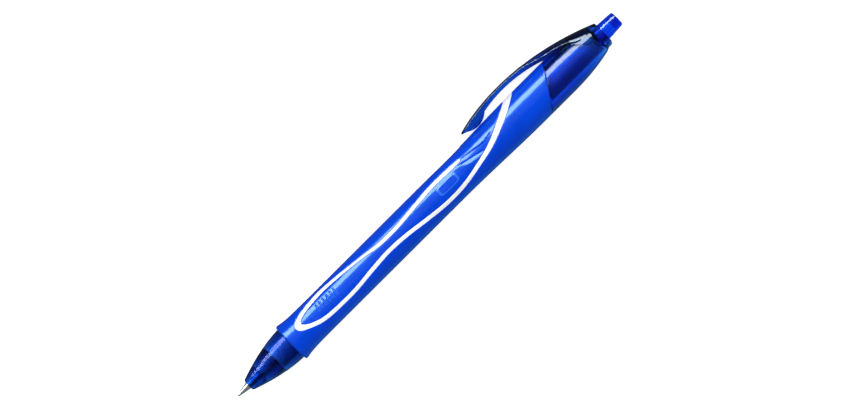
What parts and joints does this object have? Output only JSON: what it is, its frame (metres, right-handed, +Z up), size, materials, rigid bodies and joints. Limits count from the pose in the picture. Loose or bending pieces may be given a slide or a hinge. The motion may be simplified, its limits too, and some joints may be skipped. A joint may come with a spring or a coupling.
{
  "type": "retractable gel pen",
  "caption": "Retractable gel pen: soft blue grip with a white line, translucent nose cone, cap and clip, click button, and a removable refill.",
  "frame": {"origin": "centre of the footprint, on the surface that the pen lies on", "axes": "+X along the pen towards the writing tip; the clip points towards -Y and about 23 degrees down, so that the pen lies on its barrel and its clip; +Z up"},
  "size_m": [0.145, 0.0158, 0.012],
  "materials": {
    "nose_plastic": "gloss",
    "core_plastic": "satin",
    "grip_rubber": "satin",
    "cap_plastic": "gloss",
    "clip_plastic": "gloss",
    "button_plastic": "gloss",
    "cam_plastic": "satin",
    "rotor_plastic": "satin",
    "holder_plastic": "gloss",
    "tube_plastic": "gloss",
    "ink": "gloss",
    "grease": "gloss",
    "spring_steel": "satin",
    "tip_steel": "polished",
    "ball_carbide": "polished"
  },
  "bodies": {
    "pen_body": {"barrel_core": "core_plastic", "grip_sleeve": "grip_rubber", "rear_cap": "cap_plastic", "clip_collar": "clip_plastic", "cam_sleeve": "cam_plastic", "return_spring": "spring_steel"},
    "nose": {"nose_cone": "nose_plastic"},
    "refill": {"refill_tube": "tube_plastic", "gel_ink": "ink", "ink_follower": "grease", "tail_plug": "rotor_plastic", "tip_holder": "holder_plastic", "writing_tip": "tip_steel", "ball_spring": "spring_steel"},
    "rotor": {"cam_rotor": "rotor_plastic"},
    "button": {"push_button": "button_plastic"},
    "clip_spring_arm": {"clip_arm": "clip_plastic"},
    "ball": {"writing_ball": "ball_carbide"}
  },
  "joints": [
    {"name": "refill_slide", "type": "slide", "parent": "pen_body", "child": "refill", "axis": [-1, 0, 0], "range_m": [-0.0015, 0.005], "deforming": ["return_spring"]},
    {"name": "button_slide", "type": "slide", "parent": "pen_body", "child": "button", "axis": [-1, 0, 0], "range_m": [-0.0015, 0.005]},
    {"name": "rotor_turn", "type": "hinge", "parent": "refill", "child": "rotor", "pos_m": [-0.0515, 0.00186, 0.006], "axis": [-1, 0, 0], "range_deg": [-10.5, 34.7]},
    {"name": "nose_unscrew", "type": "slide", "parent": "pen_body", "child": "nose", "axis": [1, 0, 0], "range_m": [0, 0.008]},
    {"name": "clip_flex", "type": "hinge", "parent": "pen_body", "child": "clip_spring_arm", "pos_m": [-0.0488, -0.00519, 0.00305], "axis": [0, 0.3859, -0.9225], "range_deg": [0, 6], "stiffness_Nm_per_rad": 0.3},
    {"name": "ball_roll", "type": "hinge", "parent": "refill", "child": "ball", "pos_m": [0.07215, 0.00186, 0.006], "axis": [0, -0.3859, 0.9225], "continuous": true}
  ],
  "couplings": [
    {"joint": "button_slide", "follows": "refill_slide", "ratio": 1},
    {"joint": "rotor_turn", "follows": "refill_slide", "rad_per_m": 120.83}
  ]
}
